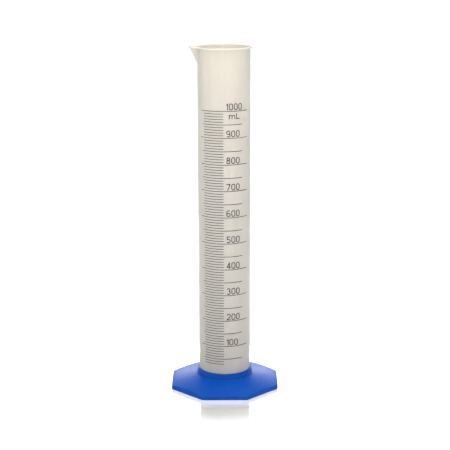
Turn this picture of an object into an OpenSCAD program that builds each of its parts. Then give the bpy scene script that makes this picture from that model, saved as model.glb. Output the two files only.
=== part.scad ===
// Graduated cylinder, 1000 mL: a translucent tube that plugs into an octagonal base.
// The origin is on the tube's axis at bench level. +Z is up, the scale faces -Y, the spout is at -X.

/* [Tube] */
// Height of the rim above the bench
total_h = 432.5; // [425:0.5:440]
// Outside radius of the tube at its foot
tube_r = 32.5; // [32.2:0.05:32.8]
// Thickness of the tube's wall
tube_wall = 1.65; // [1.5:0.05:1.9]
// Draft of the tube's wall, in degrees
tube_draft = 0.0375; // [0:0.0125:0.075]
// Height of the inside floor above the bench
floor_top = 24.4; // [24:0.1:26]
// Thickness of the floor
floor_t = 2.2; // [1.6:0.1:2.4]
// Inside radius where the floor meets the wall
floor_round = 3; // [1:0.5:5]
// Height of the rim bead
bead_h = 2.4; // [2:0.2:3]
// How far the bead stands out from the wall
bead_out = 2.2; // [1.5:0.1:3]

/* [Spout] */
// Distance from the axis to the leading crease at the rim
spout_reach = 44; // [42:0.5:46]
// Distance from the rim down to the foot of the spout
spout_drop = 23.5; // [20:0.5:26]
// Half of the angle between the two spout faces, seen from above
spout_half_angle = 39.5; // [36:0.5:42]
// Thickness of the spout's faces
spout_wall = 1.5; // [1.3:0.1:1.7]

/* [Base] */
// Distance across the octagon's flats
base_flats = 135.2; // [130:0.2:140]
// Height of the octagon's edge at its corners
edge_h = 4.6; // [4:0.2:6]
// Slope of the top, in degrees
top_slope = 13; // [10:0.5:15]
// Thickness of the base's top and skirt
base_wall = 2.4; // [2:0.1:3]
// Height of the collar's top above the bench
collar_top = 21.6; // [21:0.1:22]
// Outside radius of the collar at its top
collar_r = 34.5; // [34.3:0.1:35]
// Height of the seat that the tube's foot stands on
seat_z = 5; // [4:0.5:6]
// Inside radius of the seat ring
seat_r = 28.5; // [26:0.5:29]
// Radial clearance between the tube's foot and the socket
socket_clearance = 0.06; // [0.02:0.01:0.1]
// Thickness of the ribs underneath
rib_t = 1.8; // [1.4:0.1:2.4]
// Gap between the ribs and the bench
rib_gap = 1.4; // [1:0.2:2]

/* [Scale print] */
// Lowest printed volume, in millilitres
first_volume = 30; // [10:10:50]
// Thickness of a printed line
line_t = 0.65; // [0.4:0.05:0.8]
// Height of a numeral
digit_h = 8.2; // [7:0.2:9]
// Width of a numeral
digit_w = 5; // [4.5:0.1:5.2]
// Width of a numeral's stroke
stroke = 0.9; // [0.6:0.05:0.9]
// Gap between numerals
digit_gap = 1.2; // [1:0.1:1.4]
// Gap between a line and the numeral that stands on it
numeral_lift = 1; // [0.6:0.1:1.4]
// How far the ink stands out from the tube
ink_out = 0.08; // [0.06:0.01:0.12]

/* [Hidden] */
$fn = 144;

// How far a cut runs past the face that it opens
over = 1;
// How far two cuts overlap where they meet, so that no film is left between them
film = 0.01;

// Tube: plug_top is where the straight foot ends and the drafted wall begins
plug_top = collar_top + 1;
plug_lead = 0.8;
plug_chamfer = 1;
rim_bore_r = tube_bore_r(total_h);

// Spout: the crease runs from spout_reach at the rim down to the wall of the tube
spout_foot_z = total_h - spout_drop;
spout_lean = atan((spout_reach - tube_outer_r(spout_foot_z)) / spout_drop);
// The same V, cut square to the crease instead of level
spout_section_angle = atan(tan(spout_half_angle) / cos(spout_lean));
spout_tip_round = 1.5;
spout_bead_out = 0.8;
spout_depth = 16;
spout_below = 12;
spout_above = 10;

// Base
base_corner_r = base_flats / 2 / cos(22.5);
collar_foot_r = collar_r + 0.5;
collar_round = 0.6;
collar_fillet = 1.2;
socket_r = tube_r + socket_clearance;
sleeve_r = collar_foot_r;
sleeve_foot_z = 2.4;
socket_lead = 0.5;
rib_count = 8;

// Scale print: angles run round the tube from the front, positive towards +X
hundred_span = [-58, 58];
fifty_span = [-52.3, 42.5];
ten_span = [-48.6, -1.5];
last_volume = 1000;
numeral_angle = 4.7;
one_w = 2.2;
one_flag = 2.1;
four_bar_z = 2.3;
four_post_inset = 1;
// Radius of the lower bowl of 3 and 8, as a share of their height
low_bowl = 0.293;
unit_m_angle = 10.4;
unit_l_angle = 26.9;
unit_m_w = 8;
unit_l_w = 4.8;
unit_x_h = 5.2;
unit_cap_h = 7;
unit_drop = 9.6;
ink_in = 0.03;

// Radii of the tube: straight where it plugs into the base, then drafted
function tube_outer_r(z) = tube_r + max(0, z - plug_top) * tan(tube_draft);
function tube_bore_r(z) = tube_outer_r(z) - tube_wall;

// Height of the surface of a volume in millilitres. The bore is a cone frustum, less the rounded
// corner of the floor, so the height is the cube root form of the frustum's volume.
function corner_volume() = (1 - PI / 4) * pow(floor_round, 2) * 2 * PI * tube_bore_r(floor_top);
function level(volume) =
    let (k = tan(tube_draft), r = tube_bore_r(floor_top), v = volume * 1000 + corner_volume())
    k == 0 ? floor_top + v / (PI * r * r) : floor_top + (pow(3 * k * v / PI + pow(r, 3), 1 / 3) - r) / k;

// Height of the sloping top at a radius
function top_z(r) = edge_h + (base_corner_r - r) * tan(top_slope);

module octagon(flats) {
    rotate(22.5) circle(r = flats / 2 / cos(22.5), $fn = 8);
}

// ---- Base ----

module base_outline() {
    difference() {
        union() {
            polygon([
                [0, 0], [base_corner_r + over, 0], [base_corner_r + over, top_z(base_corner_r + over)],
                [collar_foot_r, top_z(collar_foot_r)], [collar_r, collar_top - collar_round],
                [collar_r - collar_round, collar_top], [0, collar_top]
            ]);
            // Rounded top edge of the collar
            translate([collar_r - collar_round, collar_top - collar_round]) circle(collar_round);
            // Material for the fillet at the collar's foot
            translate([collar_foot_r - over, top_z(collar_foot_r) - over])
                square(over + collar_fillet);
        }
        translate([collar_foot_r + collar_fillet, top_z(collar_foot_r) + collar_fillet])
            circle(collar_fillet);
    }
}

module under_hollow() {
    difference() {
        intersection() {
            translate([0, 0, -over]) linear_extrude(collar_top) octagon(base_flats - 2 * base_wall);
            rotate_extrude() polygon([
                [sleeve_r, -over], [base_corner_r, -over], [base_corner_r, top_z(base_corner_r) - base_wall],
                [sleeve_r, top_z(sleeve_r) - base_wall]
            ]);
        }
        for (i = [0 : rib_count - 1])
            rotate((i + 0.5) * 360 / rib_count)
                translate([sleeve_r - over, -rib_t / 2, rib_gap]) cube([base_corner_r, rib_t, collar_top]);
    }
}

module socket_bore() {
    rotate_extrude() polygon([
        [0, -over], [sleeve_r + film, -over], [sleeve_r + film, sleeve_foot_z], [seat_r, sleeve_foot_z],
        [seat_r, seat_z], [socket_r, seat_z], [socket_r, collar_top - socket_lead],
        [socket_r + socket_lead, collar_top], [socket_r + socket_lead, collar_top + over],
        [0, collar_top + over]
    ]);
}

module base() {
    color("royalblue") difference() {
        intersection() {
            rotate_extrude() base_outline();
            linear_extrude(collar_top + over) octagon(base_flats);
        }
        under_hollow();
        socket_bore();
    }
}

// ---- Tube ----

module tube_outline() {
    bead_r = tube_outer_r(total_h) + bead_out;
    polygon([
        [0, seat_z], [tube_r - plug_lead, seat_z], [tube_r, seat_z + plug_lead], [tube_r, plug_top],
        [tube_outer_r(total_h), total_h], [0, total_h]
    ]);
    translate([0, total_h - bead_h]) square([bead_r - bead_h / 2, bead_h]);
    translate([bead_r - bead_h / 2, total_h - bead_h / 2]) circle(bead_h / 2);
}

module bore_outline() {
    corner_x = tube_bore_r(floor_top) - floor_round;
    difference() {
        polygon([
            [0, floor_top], [tube_bore_r(floor_top), floor_top], [rim_bore_r, total_h],
            [rim_bore_r, total_h + over], [0, total_h + over]
        ]);
        difference() {
            translate([corner_x, floor_top - over]) square(floor_round + over);
            translate([corner_x, floor_top + floor_round]) circle(floor_round);
        }
    }
}

// V-shaped prism along the leading crease. inset moves both faces inwards.
module spout_prism(inset) {
    half_w = spout_depth * tan(spout_section_angle);
    translate([-spout_reach, 0, total_h]) rotate([0, -spout_lean, 0])
        translate([inset / sin(spout_section_angle), 0, -spout_drop / cos(spout_lean) - spout_below])
            linear_extrude(spout_drop / cos(spout_lean) + spout_below + spout_above)
                polygon([[0, 0], [spout_depth, -half_w], [spout_depth, half_w]]);
}

module spout_body() {
    intersection() {
        spout_prism(0);
        translate([-spout_reach - over, -tube_r, 0]) cube([spout_reach, 2 * tube_r, total_h]);
    }
}

// The bead that follows the spout's two faces, with a rounded tip. It is worked out level, at the rim.
module spout_bead() {
    apex = spout_reach + spout_bead_out / sin(spout_half_angle);
    tip = apex - spout_tip_round / sin(spout_half_angle);
    tangent_x = tip + spout_tip_round * sin(spout_half_angle);
    tangent_y = spout_tip_round * cos(spout_half_angle);
    back_x = apex - spout_depth;
    back_y = spout_depth * tan(spout_half_angle);
    translate([0, 0, total_h - bead_h]) linear_extrude(bead_h) {
        polygon([[-tangent_x, -tangent_y], [-tangent_x, tangent_y], [-back_x, back_y], [-back_x, -back_y]]);
        translate([-tip, 0]) circle(spout_tip_round);
    }
}

module plug_hollow() {
    r = tube_r - tube_wall;
    top = floor_top - floor_t;
    rotate_extrude() polygon([
        [0, seat_z - over], [r, seat_z - over], [r, top - plug_chamfer], [r - plug_chamfer, top], [0, top]
    ]);
}

module tube() {
    color([0.93, 0.92, 0.89]) difference() {
        union() {
            rotate_extrude() tube_outline();
            spout_body();
            spout_bead();
        }
        rotate_extrude() bore_outline();
        spout_prism(spout_wall);
        plug_hollow();
    }
}

// ---- Scale print ----

// A thin patch on the tube between two heights and two angles
module ink_patch(z, h, span) {
    rotate(span[0] - 90) rotate_extrude(angle = span[1] - span[0]) polygon([
        [tube_outer_r(z) - ink_in, z], [tube_outer_r(z) + ink_out, z],
        [tube_outer_r(z + h) + ink_out, z + h], [tube_outer_r(z + h) - ink_in, z + h]
    ]);
}

module printed_line(volume, span) {
    ink_patch(level(volume) - line_t / 2, line_t, span);
}

module hundred_lines() {
    color("#2b211c") for (v = [100 : 100 : last_volume]) printed_line(v, hundred_span);
}

module fifty_lines() {
    color("#2b211c") for (v = [50 : 100 : last_volume]) printed_line(v, fifty_span);
}

module ten_lines() {
    color("#2b211c") for (v = [first_volume : 10 : last_volume]) if (v % 50 != 0) printed_line(v, ten_span);
}

// Straight stroke between the centres of its two ends
module bar(from, to) {
    d = to - from;
    translate(from) rotate(atan2(d[1], d[0])) translate([0, -stroke / 2]) square([norm(d), stroke]);
}

// Part of a ring of outside radius r, between two angles
module bow(centre, r, a0, a1) {
    steps = 6;
    translate(centre) intersection() {
        difference() {
            circle(r, $fn = 48);
            circle(r - stroke, $fn = 48);
        }
        polygon([
            [0, 0], for (i = [0 : steps]) let (a = a0 + (a1 - a0) * i / steps) 2 * r * [cos(a), sin(a)]
        ]);
    }
}

module stadium(w, h) {
    translate([-w / 2, -h / 2 + w / 2]) square([w, h - w]);
    for (side = [-1, 1]) translate([0, side * (h - w) / 2]) circle(w / 2, $fn = 48);
}

module ring(centre, r) {
    translate(centre) difference() {
        circle(r, $fn = 48);
        circle(r - stroke, $fn = 48);
    }
}

// Numerals, drawn from the left end of the base line
module digit(c) {
    s = stroke / 2;
    r = digit_w / 2;
    mid = digit_h / 2;
    right = digit_w - s;
    top = digit_h - s;
    post_x = right - four_post_inset;
    low_r = digit_h * low_bowl;
    high_r = (digit_h + stroke) / 2 - low_r;
    if (c == "0") translate([r, mid]) difference() {
        stadium(digit_w, digit_h);
        stadium(digit_w - 2 * stroke, digit_h - 2 * stroke);
    }
    if (c == "1") {
        bar([one_w - s, 0], [one_w - s, digit_h]);
        bar([0, digit_h - one_flag], [one_w - s, top]);
    }
    if (c == "2") {
        bow([r, digit_h - r], r, -35, 165);
        bar([r + (r - s) * cos(35), digit_h - r - (r - s) * sin(35)], [s, s]);
        bar([0, s], [digit_w, s]);
    }
    if (c == "3") {
        bow([r, digit_h - high_r], high_r, -90, 155);
        bow([r, low_r], low_r, -155, 90);
    }
    if (c == "4") {
        bar([post_x, 0], [post_x, digit_h]);
        bar([0, four_bar_z], [digit_w, four_bar_z]);
        bar([s, four_bar_z], [post_x, top]);
    }
    if (c == "5") {
        bar([s, top], [right, top]);
        bar([stroke, top], [stroke, r + (r - s) * sin(130)]);
        bow([r, r], r, -150, 135);
    }
    if (c == "6") {
        ring([r, r], r);
        bar([s, r], [s, digit_h - r]);
        bow([r, digit_h - r], r, 40, 180);
    }
    if (c == "7") {
        bar([0, top], [digit_w, top]);
        bar([right, top], [r - stroke, 0]);
    }
    if (c == "8") {
        ring([r, digit_h - high_r], high_r);
        ring([r, low_r], low_r);
    }
    if (c == "9") translate([digit_w, digit_h]) rotate(180) digit("6");
}

// Lays a flat glyph of width w and height h on the tube, its left end at an angle and its foot at z
module on_tube(angle, z, w, h) {
    half = mm_to_angle(w / 2);
    margin = 0.5;
    reach = 4;
    intersection() {
        ink_patch(z - margin, h + 2 * margin, [angle - margin, angle + 2 * half + margin]);
        rotate(angle + half) translate([-w / 2, reach / 2 - tube_r, z]) rotate([90, 0, 0])
            linear_extrude(reach) children();
    }
}

function mm_to_angle(x) = x / tube_outer_r(total_h / 2) * 180 / PI;
function glyph_w(c) = c == "1" ? one_w : digit_w;
// Distance from the left end of a numeral to its i-th digit
function digit_x(word, i) = i == 0 ? 0 : digit_x(word, i - 1) + glyph_w(word[i - 1]) + digit_gap;

module numerals() {
    color("#2b211c") for (v = [100 : 100 : last_volume]) {
        word = str(v);
        foot_z = level(v) + line_t / 2 + numeral_lift;
        for (i = [0 : len(word) - 1])
            on_tube(numeral_angle + mm_to_angle(digit_x(word, i)), foot_z, glyph_w(word[i]), digit_h)
                digit(word[i]);
    }
}

module letter_m() {
    s = stroke / 2;
    pitch = (unit_m_w - stroke) / 2;
    arch_r = (pitch + stroke) / 2;
    for (i = [0 : 2]) bar([s + i * pitch, 0], [s + i * pitch, i == 0 ? unit_x_h : unit_x_h - arch_r]);
    for (i = [0 : 1]) bow([s + (i + 0.5) * pitch, unit_x_h - arch_r], arch_r, 0, 180);
}

module letter_l() {
    bar([stroke / 2, 0], [stroke / 2, unit_cap_h]);
    bar([0, stroke / 2], [unit_l_w, stroke / 2]);
}

module unit_mark() {
    z = level(last_volume) - unit_drop;
    color("#2b211c") {
        on_tube(unit_m_angle, z, unit_m_w, unit_x_h) letter_m();
        on_tube(unit_l_angle, z, unit_l_w, unit_cap_h) letter_l();
    }
}

base();
tube();
hundred_lines();
fifty_lines();
ten_lines();
numerals();
unit_mark();
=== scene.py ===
"""Looks for a 1000 mL graduated cylinder: a translucent tube plugged into a blue octagonal base.

Lengths are in metres, in the CAD frame: +Z up, the scale faces -Y and the spout points along -X.
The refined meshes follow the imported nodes' boxes and the same driving dimensions as the design.
"""

import math

import bmesh
import bpy
from mathutils import Matrix, Vector


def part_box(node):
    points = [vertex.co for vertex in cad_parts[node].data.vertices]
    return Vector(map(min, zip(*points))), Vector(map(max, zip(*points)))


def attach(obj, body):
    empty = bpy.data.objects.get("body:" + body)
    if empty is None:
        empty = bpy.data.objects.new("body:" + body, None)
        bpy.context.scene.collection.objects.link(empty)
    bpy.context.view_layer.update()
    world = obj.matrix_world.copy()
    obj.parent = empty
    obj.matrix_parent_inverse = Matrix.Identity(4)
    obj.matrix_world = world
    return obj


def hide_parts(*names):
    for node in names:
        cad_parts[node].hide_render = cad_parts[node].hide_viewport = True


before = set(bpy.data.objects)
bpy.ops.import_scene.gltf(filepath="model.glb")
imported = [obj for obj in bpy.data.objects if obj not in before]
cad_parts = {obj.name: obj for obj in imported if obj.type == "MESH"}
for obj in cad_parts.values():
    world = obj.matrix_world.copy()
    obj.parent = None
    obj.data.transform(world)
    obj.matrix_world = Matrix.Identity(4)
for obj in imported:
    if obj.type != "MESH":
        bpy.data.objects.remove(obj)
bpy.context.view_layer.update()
MM = 0.001

# ---- Driving dimensions, each the same as in the design ----

tube_low, tube_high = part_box("tube")
base_low, base_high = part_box("base")

TOTAL_H = tube_high.z
SEAT_Z = tube_low.z
COLLAR_TOP = base_high.z
BASE_FLATS = base_high.x - base_low.x

TUBE_R = 32.5 * MM
TUBE_WALL = 1.65 * MM
TUBE_DRAFT = math.radians(0.0375)
PLUG_TOP = COLLAR_TOP + 1 * MM
PLUG_LEAD = 0.8 * MM
FLOOR_TOP = 24.4 * MM
FLOOR_T = 2.2 * MM
FLOOR_ROUND = 3 * MM
BEAD_H = 2.4 * MM
BEAD_OUT = 2.2 * MM

SPOUT_REACH = 44 * MM
SPOUT_DROP = 23.5 * MM
SPOUT_HALF_ANGLE = math.radians(39.5)
SPOUT_WALL = 1.5 * MM
SPOUT_BEAD_OUT = 0.8 * MM

EDGE_H = 4.6 * MM
TOP_SLOPE = math.radians(13)
BASE_WALL = 2.4 * MM
COLLAR_R = 34.5 * MM
COLLAR_FOOT_R = 35 * MM
SEAT_R = 28.5 * MM
SOCKET_R = TUBE_R + 0.06 * MM
SLEEVE_FOOT_Z = 2.4 * MM
RIB_T = 1.8 * MM
RIB_GAP = 1.4 * MM
RIBS = 8
SIDES = 8

# ---- Detail that only these finer meshes have ----

# How far the spout's faces fade into the round wall, and how far its crease is rounded off, in radians
SPOUT_BLEND = 0.6 * MM
CREASE_ROUND_OUT = 0.03
CREASE_ROUND_IN = 0.06
# Rings up the plain wall, and again up the stretch where the spout stands out
WALL_RINGS = 24
# Steps along the slope of the base's top
SLOPE_STEPS = 10


# ---- Mesh helpers ----

def arc(centre, radius, start, end, steps):
    """Points (across, up) round an arc, angles in degrees, both ends included."""
    points = []
    for i in range(steps + 1):
        a = math.radians(start + (end - start) * i / steps)
        points.append((centre[0] + radius * math.cos(a), centre[1] + radius * math.sin(a)))
    return points


def grid_mesh(name, columns):
    """A closed surface from columns of points, each from one point on the axis to another."""
    bm = bmesh.new()
    first = bm.verts.new(columns[0][0])
    last = bm.verts.new(columns[0][-1])
    rows = [[bm.verts.new(p) for p in column[1:-1]] for column in columns]
    for i, row in enumerate(rows):
        nxt = rows[(i + 1) % len(rows)]
        bm.faces.new((first, row[0], nxt[0]))
        bm.faces.new((last, nxt[-1], row[-1]))
        for j in range(len(row) - 1):
            bm.faces.new((row[j], row[j + 1], nxt[j + 1], nxt[j]))
    bmesh.ops.recalc_face_normals(bm, faces=bm.faces)
    return finished(name, bm)


def finished(name, bm):
    """The finished mesh as an object in the scene."""
    mesh = bpy.data.meshes.new(name)
    bm.to_mesh(mesh)
    bm.free()
    piece = bpy.data.objects.new(name, mesh)
    bpy.context.scene.collection.objects.link(piece)
    return piece


def shade(piece, sharp_degrees):
    """Smooth shading, with edges sharper than the angle left crisp."""
    for face in piece.data.polygons:
        face.use_smooth = True
    piece.data.set_sharp_from_angle(angle=math.radians(sharp_degrees))


def soft_max(a, b, width):
    """The larger of two lengths, with a fillet where they are within width of each other."""
    return max(a, b) + max(width - abs(a - b), 0) ** 2 / (4 * width)


# ---- Tube ----

def tube_outer_r(z):
    """Outside radius of the round wall at a height, with its draft above the plug."""
    return TUBE_R + max(0, z - PLUG_TOP) * math.tan(TUBE_DRAFT)


def crease_reach(z):
    """Distance from the axis to the spout's crease at a height."""
    foot_z = TOTAL_H - SPOUT_DROP
    foot = tube_outer_r(foot_z)
    return foot + (SPOUT_REACH - foot) * (z - foot_z) / SPOUT_DROP


def spout_r(angle, z, inset, round_off):
    """Distance from the axis to the spout's faces, at an angle from its crease."""
    off = math.hypot(angle, round_off)
    square_on = math.pi / 2 - SPOUT_HALF_ANGLE
    if off > square_on:
        return 0
    return (crease_reach(z) * math.sin(SPOUT_HALF_ANGLE) - inset) / math.cos(off - square_on)


def spout_share(angle, z):
    """1 on the spout's faces and 0 on the round wall, with a short change between them."""
    ahead = spout_r(angle, z, 0, CREASE_ROUND_OUT) - tube_outer_r(z)
    return min(max(0.5 + ahead / (2 * SPOUT_BLEND), 0), 1)


def outer_r(angle, z):
    return soft_max(tube_outer_r(z), spout_r(angle, z, 0, CREASE_ROUND_OUT), SPOUT_BLEND)


def inner_r(angle, z):
    inside = tube_outer_r(z) - TUBE_WALL
    return soft_max(inside, spout_r(angle, z, SPOUT_WALL, CREASE_ROUND_IN), SPOUT_BLEND)


def tube_angles():
    """Angles from the crease: fine steps at the spout and even steps round the rest."""
    fine, coarse, fine_to = 0.5, 1.5, 30
    near = [i * fine for i in range(int(fine_to / fine))]
    far = [fine_to + i * coarse for i in range(int((180 - fine_to) / coarse))]
    half = near + far + [180]
    return [math.radians(a) for a in half + [-a for a in reversed(half[1:-1])]]


def tube_column(angle):
    """The tube's section at an angle from the spout, from under the floor round to its top."""
    plug_in = TUBE_R - TUBE_WALL
    floor_low = FLOOR_TOP - FLOOR_T
    under_round = 1 * MM
    foot_round = 0.3 * MM
    section = [(0, floor_low), (plug_in / 2, floor_low)]
    section += arc((plug_in - under_round, floor_low - under_round), under_round, 90, 0, 4)
    section += arc((plug_in + foot_round, SEAT_Z + foot_round), foot_round, 180, 270, 3)
    section += [(TUBE_R - PLUG_LEAD, SEAT_Z), (TUBE_R, SEAT_Z + PLUG_LEAD), (TUBE_R, PLUG_TOP)]
    # Outer wall, with close rings where the spout stands out
    below_spout = 4 * MM
    spout_low = TOTAL_H - SPOUT_DROP - below_spout
    wall = [PLUG_TOP + (spout_low - PLUG_TOP) * i / WALL_RINGS for i in range(1, WALL_RINGS + 1)]
    bead_low = TOTAL_H - BEAD_H
    wall += [spout_low + (bead_low - spout_low) * i / WALL_RINGS for i in range(1, WALL_RINGS)]
    section += [(outer_r(angle, z), z) for z in wall]
    # Rim: the bead's half-round edge, then the inner edge of its flat top
    share = spout_share(angle, TOTAL_H)
    facing = SPOUT_HALF_ANGLE + abs(angle)
    lean = 1 / math.sin(facing) if share > 0 else 1
    most_lean = 1.4
    out = BEAD_OUT + (SPOUT_BEAD_OUT * min(lean, most_lean) - BEAD_OUT) * share
    half = BEAD_H / 2
    bead_r = outer_r(angle, bead_low)
    root = 0.35 * MM
    section += arc((bead_r + root, bead_low - root), root, 180, 90, 3)
    least_edge = 0.05 * MM
    edge = max(out - half, least_edge)
    squash = min(out, half)
    rim = arc((0, 0), 1, -90, 90, 10)
    rim_r = outer_r(angle, TOTAL_H) + edge - (half - squash)
    section += [(rim_r + squash * x, bead_low + half + half * y) for x, y in rim]
    lip = 0.7 * MM
    inside = inner_r(angle, TOTAL_H)
    section += arc((inside + lip, TOTAL_H - lip), lip, 90, 180, 4)
    section += [(inner_r(angle, z), z) for z in reversed(wall)]
    corner = tube_outer_r(FLOOR_TOP) - TUBE_WALL - FLOOR_ROUND
    section += arc((corner, FLOOR_TOP + FLOOR_ROUND), FLOOR_ROUND, 0, -90, 8)
    section += [(corner / 2, FLOOR_TOP), (0, FLOOR_TOP)]
    away = math.pi + angle
    return [(r * math.cos(away), r * math.sin(away), z) for r, z in section]


def make_tube():
    piece = grid_mesh("measuring_tube", [tube_column(a) for a in tube_angles()])
    shade(piece, 50)
    return piece


# ---- Base ----

def octagon_r(angle, apothem, corner_round):
    """Distance from the axis to a rounded octagon whose flats face the axes."""
    turn = math.pi / SIDES
    from_flat = (angle + turn) % (2 * turn) - turn
    straight = (apothem - corner_round) * math.tan(turn)
    if abs(math.tan(from_flat)) * apothem <= straight:
        return apothem / math.cos(from_flat)
    centre = (apothem - corner_round) / math.cos(turn)
    off = turn - abs(from_flat)
    return centre * math.cos(off) + math.sqrt(corner_round ** 2 - (centre * math.sin(off)) ** 2)


def base_angles():
    """Close steps round each corner and wide ones along each flat."""
    turn = 180 / SIDES
    close, close_steps, close_span = 0.3, 7, 2
    wide, wide_steps = 2.04, 21
    past_corner = -turn + close * close_steps
    steps = [-turn + i * close for i in range(close_steps)]
    steps += [past_corner + i * wide for i in range(wide_steps)]
    steps += [turn - close_span + i * close for i in range(close_steps)]
    return [math.radians(side * 2 * turn + s) for side in range(SIDES) for s in steps]


def cone_z(r):
    """Height of the sloping top at a distance from the axis."""
    return EDGE_H + (BASE_FLATS / 2 / math.cos(math.pi / SIDES) - r) * math.tan(TOP_SLOPE)


def base_column(angle):
    """The base's section at an angle, from the socket's foot out under the skirt and up to the socket."""
    corner_round, inner_corner_round = 1.6 * MM, 0.6 * MM
    top_round, foot_round = 0.9 * MM, 0.25 * MM
    out = octagon_r(angle, BASE_FLATS / 2, corner_round)
    hollow = octagon_r(angle, BASE_FLATS / 2 - BASE_WALL, inner_corner_round)
    ceiling = BASE_WALL / math.cos(TOP_SLOPE)
    sleeve = COLLAR_FOOT_R
    section = [(SEAT_R, SLEEVE_FOOT_Z), (sleeve, SLEEVE_FOOT_Z), (sleeve, cone_z(sleeve) - ceiling)]
    section += [(hollow, cone_z(hollow) - ceiling)]
    section += arc((hollow + foot_round, foot_round), foot_round, 180, 270, 2)
    section += arc((out - foot_round, foot_round), foot_round, 270, 360, 2)
    # Rounded top edge: from the upright skirt over on to the slope
    slope = math.degrees(TOP_SLOPE)
    tangent = top_round * math.tan(math.radians((90 - slope) / 2))
    section += arc((out - top_round, cone_z(out) - tangent), top_round, 0, 90 - slope, 5)
    # The slope's points start at height 0 and are then lifted on to it. Known fault: the lift also
    # catches the skirt's inner foot point, which leaves a groove from the skirt's underside to its top.
    fillet = 1.2 * MM
    foot = cone_z(COLLAR_FOOT_R)
    fillet_rise = fillet * 0.78
    start = COLLAR_FOOT_R + fillet * 1.25
    section += [(start + (out - start) * i / SLOPE_STEPS, 0) for i in range(SLOPE_STEPS - 1, 0, -1)]
    section = [(r, cone_z(r) if z == 0 and start < r < out - top_round else z) for r, z in section]
    section += arc((COLLAR_FOOT_R + fillet, foot + fillet_rise), fillet, 270 - slope, 182, 6)
    lip = 0.6 * MM
    section += arc((COLLAR_R - lip, COLLAR_TOP - lip), lip, 0, 90, 5)
    lead = 0.35 * MM
    section += arc((SOCKET_R + lead, COLLAR_TOP - lead), lead, 90, 180, 4)
    section += [(SOCKET_R, (COLLAR_TOP + SEAT_Z) / 2), (SOCKET_R, SEAT_Z), (SEAT_R, SEAT_Z)]
    return [(r * math.cos(angle), r * math.sin(angle), z) for r, z in section]


def ring_mesh(name, columns):
    """A closed ring-shaped surface from columns of points, each column a closed loop."""
    bm = bmesh.new()
    rows = [[bm.verts.new(p) for p in column] for column in columns]
    for i, row in enumerate(rows):
        nxt = rows[(i + 1) % len(rows)]
        for j in range(len(row)):
            k = (j + 1) % len(row)
            bm.faces.new((row[j], row[k], nxt[k], nxt[j]))
    bmesh.ops.recalc_face_normals(bm, faces=bm.faces)
    return finished(name, bm)


def rib(bm, angle):
    """One upright web between the sleeve and the skirt, sunk into what it meets."""
    sink = 0.8 * MM
    near = COLLAR_FOOT_R - sink
    far = (BASE_FLATS / 2 - BASE_WALL) / math.cos(math.pi / SIDES) + sink
    turn = Matrix.Rotation(angle, 3, "Z")
    half = RIB_T / 2
    outline = [(near, RIB_GAP), (far, RIB_GAP), (far, cone_z(far) - sink), (near, cone_z(near) - 2 * sink)]
    sides = [[bm.verts.new(turn @ Vector((r, y, z))) for r, z in outline] for y in (-half, half)]
    bm.faces.new(sides[0])
    bm.faces.new(reversed(sides[1]))
    for i in range(4):
        j = (i + 1) % 4
        bm.faces.new((sides[0][i], sides[1][i], sides[1][j], sides[0][j]))


def make_base():
    piece = ring_mesh("octagonal_base", [base_column(a) for a in base_angles()])
    bm = bmesh.new()
    for i in range(RIBS):
        rib(bm, (i + 0.5) * 2 * math.pi / RIBS)
    bmesh.ops.recalc_face_normals(bm, faces=bm.faces)
    ribs = finished("ribs", bm)
    join = piece.modifiers.new("ribs", "BOOLEAN")
    join.operation = "UNION"
    join.solver = "EXACT"
    join.object = ribs
    bpy.context.view_layer.objects.active = piece
    bpy.ops.object.modifier_apply(modifier=join.name)
    bpy.data.objects.remove(ribs)
    shade(piece, 35)
    return piece


# ---- Materials ----

NOISE_LOW, NOISE_HIGH = 0.3, 0.7


def nodes_of(name):
    """A new material, its node tree and its shader."""
    material = bpy.data.materials.new(name)
    material.use_nodes = True
    tree = material.node_tree
    return material, tree, tree.nodes["Principled BSDF"]


def noise(tree, scale, detail=3.0, stretch=(1, 1, 1)):
    """Object-space noise, stretched along an axis where its scale there is small."""
    place = tree.nodes.new("ShaderNodeTexCoord")
    mapping = tree.nodes.new("ShaderNodeMapping")
    mapping.inputs["Scale"].default_value = stretch
    texture = tree.nodes.new("ShaderNodeTexNoise")
    texture.inputs["Scale"].default_value = scale
    texture.inputs["Detail"].default_value = detail
    tree.links.new(place.outputs["Object"], mapping.inputs["Vector"])
    tree.links.new(mapping.outputs["Vector"], texture.inputs["Vector"])
    return texture.outputs["Fac"]


def ramp(tree, source, stops):
    """Colours picked by a value, from stops of (value, colour)."""
    node = tree.nodes.new("ShaderNodeValToRGB")
    elements = node.color_ramp.elements
    while len(elements) < len(stops):
        elements.new(0.5)
    for element, (at, colour) in zip(elements, stops):
        element.position = at
        element.color = (*colour, 1)
    tree.links.new(source, node.inputs["Fac"])
    return node.outputs["Color"]


def spread(tree, source, low, high):
    """The range that noise mostly keeps to, spread from low to high."""
    node = tree.nodes.new("ShaderNodeMapRange")
    node.inputs["From Min"].default_value = NOISE_LOW
    node.inputs["From Max"].default_value = NOISE_HIGH
    node.inputs["To Min"].default_value = low
    node.inputs["To Max"].default_value = high
    tree.links.new(source, node.inputs["Value"])
    return node.outputs["Result"]


def bump(tree, source, distance, strength):
    node = tree.nodes.new("ShaderNodeBump")
    node.inputs["Distance"].default_value = distance
    node.inputs["Strength"].default_value = strength
    tree.links.new(source, node.inputs["Height"])
    return node.outputs["Normal"]


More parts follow.
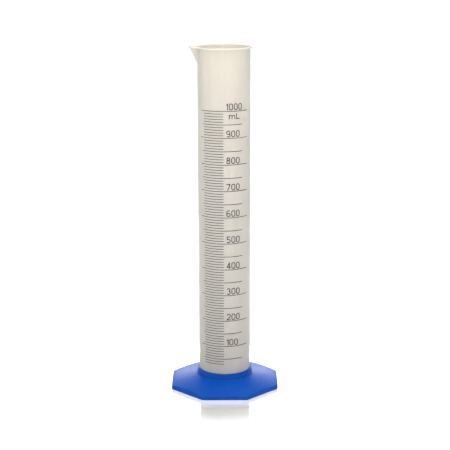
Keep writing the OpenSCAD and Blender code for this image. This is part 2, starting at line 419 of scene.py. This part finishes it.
def tube_plastic():
    """Natural polypropylene: milky and warm, with faint streaks along the moulding's flow."""
    material, tree, shader = nodes_of("milky_polypropylene")
    streaks = noise(tree, 90, 4, (1, 1, 0.05))
    colour = ramp(tree, streaks, [(NOISE_LOW, (0.60, 0.572, 0.527)), (NOISE_HIGH, (0.64, 0.612, 0.562))])
    tree.links.new(colour, shader.inputs["Base Color"])
    haze = noise(tree, 60, 5)
    tree.links.new(spread(tree, haze, 0.28, 0.4), shader.inputs["Roughness"])
    tree.links.new(bump(tree, noise(tree, 140, 2, (1, 1, 0.3)), 0.0002, 0.25), shader.inputs["Normal"])
    shader.inputs["Subsurface Weight"].default_value = 1.0
    shader.inputs["Subsurface Radius"].default_value = (1.0, 0.9, 0.75)
    shader.inputs["Subsurface Scale"].default_value = 0.004
    shader.inputs["Alpha"].default_value = 0.85
    shader.inputs["Specular IOR Level"].default_value = 0.2
    return material


def base_plastic():
    """Glossy blue polypropylene with a little mottling and fine handling marks."""
    material, tree, shader = nodes_of("blue_polypropylene")
    mottle = noise(tree, 45, 5)
    colour = ramp(tree, mottle, [(NOISE_LOW, (0.001, 0.064, 0.37)), (NOISE_HIGH, (0.003, 0.078, 0.42))])
    tree.links.new(colour, shader.inputs["Base Color"])
    scuffs = noise(tree, 260, 6)
    tree.links.new(spread(tree, scuffs, 0.27, 0.4), shader.inputs["Roughness"])
    tree.links.new(bump(tree, noise(tree, 900, 2), 0.0001, 0.15), shader.inputs["Normal"])
    shader.inputs["IOR"].default_value = 1.18
    return material


def ink():
    """Matt dark brown screen ink, a little uneven where the mesh left it thin."""
    material, tree, shader = nodes_of("screen_ink")
    coverage = noise(tree, 1500, 3)
    stops = [(NOISE_LOW, (0.012, 0.009, 0.007)), (NOISE_HIGH, (0.03, 0.022, 0.017))]
    colour = ramp(tree, coverage, stops)
    tree.links.new(colour, shader.inputs["Base Color"])
    tree.links.new(spread(tree, coverage, 0.55, 0.75), shader.inputs["Roughness"])
    shader.inputs["Specular IOR Level"].default_value = 0.2
    return material


def dress(piece, material):
    piece.data.materials.clear()
    piece.data.materials.append(material)


# ---- Pieces ----

tube = make_tube()
dress(tube, tube_plastic())
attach(tube, "tube")
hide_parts("tube")

base = make_base()
dress(base, base_plastic())
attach(base, "base")
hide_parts("base")

printed = ink()
for node in ("hundred_lines", "fifty_lines", "ten_lines", "numerals", "unit_mark"):
    dress(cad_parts[node], printed)


# ---- Stage, light and camera ----

FLOOR_SIZE = 20
FLOOR_ALBEDO = 0.95
FLOOR_GLOSS_ROUGHNESS = 0.06
# How much of the floor's surface is a mirror, by distance from the axis
POLISH = [(0.067, 0.3), (0.080, 0.35), (0.093, 0.75), (0.115, 0.6), (0.150, 0)]

# Brightness of the surroundings by height, where 0 is straight down, 0.5 is level and 1 is straight up
WALL_LIGHT = 0.05
CEILING_LIGHT = 4.2
ABOVE = [(0.9, WALL_LIGHT), (0.95, CEILING_LIGHT)]
SEEN_BY_DIFFUSE = [(0.51, 1), (0.57, WALL_LIGHT)] + ABOVE
SEEN_BY_GLOSS = [(0.72, 1.1), (0.8, WALL_LIGHT)] + ABOVE


def make_floor():
    """A white sweep, polished close round the base so that it mirrors the foot of the object."""
    bm = bmesh.new()
    bmesh.ops.create_grid(bm, x_segments=4, y_segments=4, size=FLOOR_SIZE)
    floor = finished("floor", bm)
    material = bpy.data.materials.new("white_sweep")
    material.use_nodes = True
    tree = material.node_tree
    tree.nodes.clear()
    place = tree.nodes.new("ShaderNodeTexCoord")
    length = tree.nodes.new("ShaderNodeVectorMath")
    length.operation = "LENGTH"
    tree.links.new(place.outputs["Object"], length.inputs[0])
    polish = ramp(tree, length.outputs["Value"], [(r, (k, k, k)) for r, k in POLISH])
    matt = tree.nodes.new("ShaderNodeBsdfDiffuse")
    matt.inputs["Color"].default_value = (FLOOR_ALBEDO, FLOOR_ALBEDO, FLOOR_ALBEDO, 1)
    mirror = tree.nodes.new("ShaderNodeBsdfGlossy")
    mirror.inputs["Color"].default_value = (1, 1, 1, 1)
    mirror.inputs["Roughness"].default_value = FLOOR_GLOSS_ROUGHNESS
    mix = tree.nodes.new("ShaderNodeMixShader")
    out = tree.nodes.new("ShaderNodeOutputMaterial")
    tree.links.new(polish, mix.inputs["Fac"])
    tree.links.new(matt.outputs["BSDF"], mix.inputs[1])
    tree.links.new(mirror.outputs["BSDF"], mix.inputs[2])
    tree.links.new(mix.outputs["Shader"], out.inputs["Surface"])
    floor.data.materials.append(material)


def hang(name, data, place, aim):
    """A lamp that the camera doesn't see, pointing from its place to its aim."""
    lamp = bpy.data.objects.new(name, data)
    lamp.location = place
    lamp.rotation_euler = (Vector(aim) - Vector(place)).to_track_quat("-Z", "Y").to_euler()
    lamp.visible_camera = False
    bpy.context.scene.collection.objects.link(lamp)
    return lamp


def back_light():
    """A weak soft light from behind."""
    data = bpy.data.lights.new("back", "AREA")
    data.shape = "RECTANGLE"
    data.size, data.size_y = 0.5, 0.3
    data.energy = 2.5
    hang("back", data, place=(0, 1.0, 0.3), aim=(0, 0, 0.35))


def mouth_light():
    """Light bounced about inside the mouth, so that its far wall is nearly as bright as the front."""
    data = bpy.data.lights.new("mouth", "POINT")
    data.shadow_soft_size = 10 * MM
    data.energy = 0.010
    lamp = hang("mouth", data, place=(0, 0, TOTAL_H - 20 * MM), aim=(0, 0, 0))
    lamp.visible_glossy = False


def key_light():
    """A soft-edged warm spot from the front, aimed at the top of the tube."""
    data = bpy.data.lights.new("key", "SPOT")
    data.spot_size = math.radians(44)
    data.spot_blend = 1
    data.shadow_soft_size = 0.15
    data.energy = 54
    data.color = (1, 0.975, 0.93)
    hang("key", data, place=(0, -1.2, 0.8), aim=(0, 0, 0.40))


def light_levels(tree, height, levels):
    """A ramp of the levels by height, each as a share of the ceiling's."""
    return ramp(tree, height, [(at, (level / CEILING_LIGHT,) * 3) for at, level in levels])


def make_world():
    """A studio: dim walls, a bright ceiling, and white low down that reaches higher for gloss."""
    world = bpy.data.worlds.new("studio")
    world.use_nodes = True
    tree = world.node_tree
    sky = tree.nodes["Background"]
    place = tree.nodes.new("ShaderNodeTexCoord")
    axes = tree.nodes.new("ShaderNodeSeparateXYZ")
    tree.links.new(place.outputs["Generated"], axes.inputs["Vector"])
    height = tree.nodes.new("ShaderNodeMapRange")
    height.inputs["From Min"].default_value = -1
    tree.links.new(axes.outputs["Z"], height.inputs["Value"])
    diffuse = light_levels(tree, height.outputs["Result"], SEEN_BY_DIFFUSE)
    gloss = light_levels(tree, height.outputs["Result"], SEEN_BY_GLOSS)
    kind = tree.nodes.new("ShaderNodeLightPath")
    mix = tree.nodes.new("ShaderNodeMixRGB")
    tree.links.new(kind.outputs["Is Glossy Ray"], mix.inputs["Fac"])
    tree.links.new(diffuse, mix.inputs["Color1"])
    tree.links.new(gloss, mix.inputs["Color2"])
    tree.links.new(mix.outputs["Color"], sky.inputs["Color"])
    sky.inputs["Strength"].default_value = CEILING_LIGHT
    bpy.context.scene.world = world


def make_camera():
    """A long lens from the front, a little above the rim, aimed down."""
    distance, height, aside = 1.531, 0.569, 0.00165
    pitch, roll = 0.2136, -0.0028
    data = bpy.data.cameras.new("camera")
    data.sensor_width = 36
    data.lens = 99.76
    data.shift_x = -0.0013
    data.shift_y = -0.05
    camera = bpy.data.objects.new("camera", data)
    place = Matrix.Translation((aside, -distance, height))
    tilt = Matrix.Rotation(math.pi / 2 - pitch, 4, "X")
    camera.matrix_world = place @ tilt @ Matrix.Rotation(roll, 4, "Z")
    bpy.context.scene.collection.objects.link(camera)
    bpy.context.scene.camera = camera


make_floor()
make_world()
back_light()
mouth_light()
key_light()
make_camera()
bpy.context.scene.view_settings.view_transform = "Standard"
